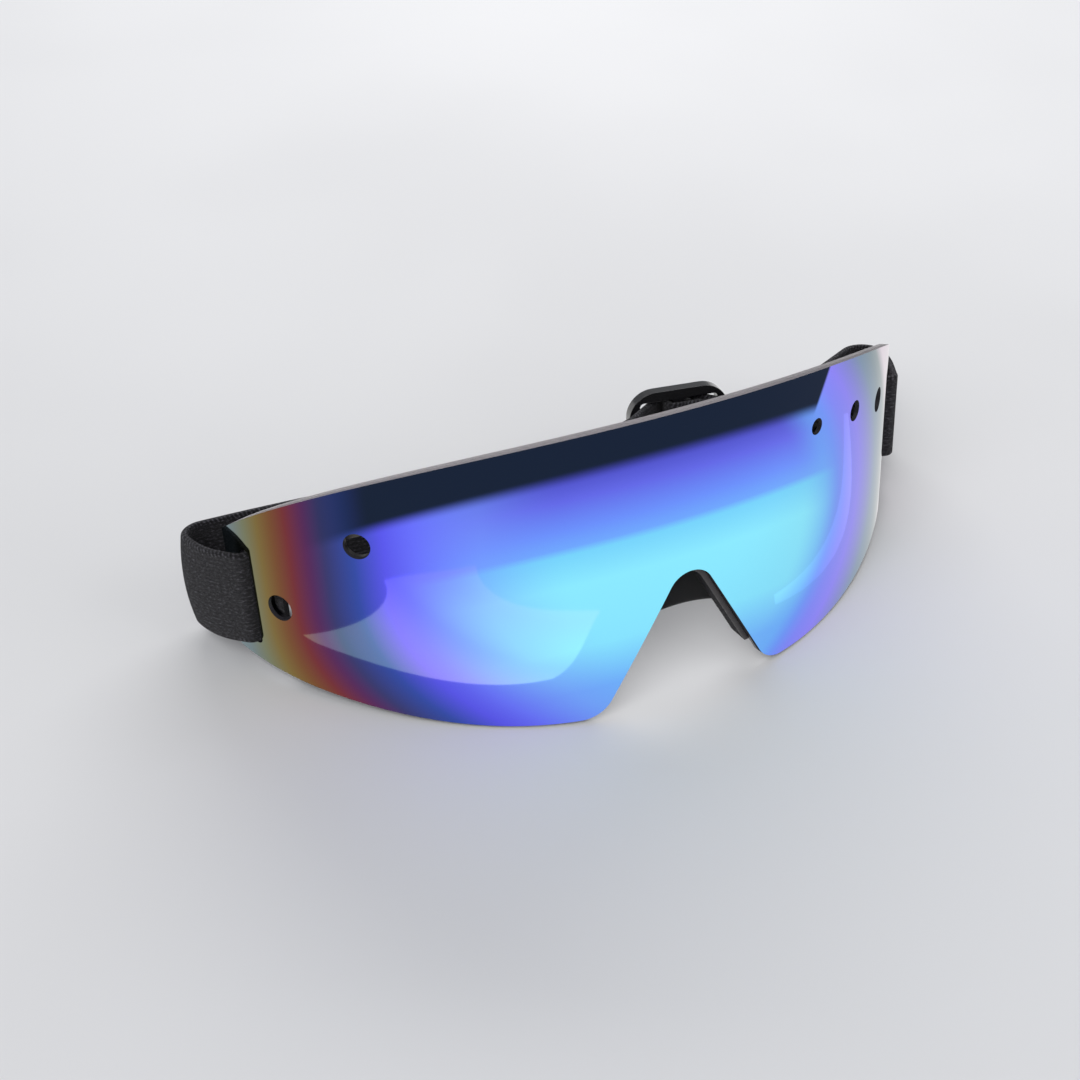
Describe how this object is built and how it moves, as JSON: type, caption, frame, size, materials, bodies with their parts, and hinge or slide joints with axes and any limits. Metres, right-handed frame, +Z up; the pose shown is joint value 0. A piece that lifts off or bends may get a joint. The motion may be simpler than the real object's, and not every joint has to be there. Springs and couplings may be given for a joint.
{
  "type": "wraparound goggles",
  "caption": "One-piece mirrored wraparound shield with nose notch and round vents, foam face pads and a woven elastic strap through end slots with an adjusting slider.",
  "frame": {"origin": "middle of the bounding box at the surface that the goggles stand on", "axes": "+X across the face towards the side with the slider, +Y back towards the wearer's head, +Z up"},
  "size_m": [0.1671, 0.0642, 0.0618],
  "materials": {
    "shield": "clear polycarbonate with a blue and violet mirror coating",
    "tape": "thin double-sided tape",
    "foam": "closed cell foam with a cut edge",
    "facing": "brushed knit",
    "strap": "ribbed woven elastic",
    "thread": "twisted sewing thread",
    "slider": "glossy moulded"
  },
  "bodies": {
    "goggle_front": {"lens": "shield", "brow_tape": "tape", "left_cheek_tape": "tape", "right_cheek_tape": "tape", "left_nose_tape": "tape", "right_nose_tape": "tape", "brow_pad": "foam", "left_cheek_pad": "foam", "right_cheek_pad": "foam", "left_nose_pad": "foam", "right_nose_pad": "foam", "brow_facing": "facing", "left_cheek_facing": "facing", "right_cheek_facing": "facing", "left_nose_facing": "facing", "right_nose_facing": "facing", "bridge_pad": "facing", "left_strap_end": "strap", "left_hem_stitches": "thread", "right_strap_turn": "strap"},
    "strap_sides": {"left_side_web": "strap", "right_side_web": "strap", "right_inner_web": "strap"},
    "strap_back": {"left_back_web": "strap", "right_back_web": "strap", "return_web": "strap"},
    "slider_group": {"slider": "slider", "slider_weave": "strap", "slider_loop": "strap", "slider_stitches": "thread"}
  },
  "joints": [
    {"name": "strap_swing", "type": "hinge", "parent": "goggle_front", "child": "strap_sides", "pos_m": [-0.00065, 0.01196, 0.0162], "axis": [1, 0, 0], "range_deg": [-20, 20], "deforming": ["left_side_web", "right_side_web", "right_inner_web"]},
    {"name": "strap_stretch", "type": "slide", "parent": "strap_sides", "child": "strap_back", "axis": [0, 1, 0], "range_m": [0, 0.08], "stiffness_N_per_m": 110, "deforming": ["left_side_web", "right_side_web", "right_inner_web"]},
    {"name": "slider_slide", "type": "slide", "parent": "strap_back", "child": "slider_group", "axis": [1, 0, 0], "range_m": [-0.055, 0.02], "deforming": ["left_back_web", "right_back_web", "return_web"]}
  ]
}
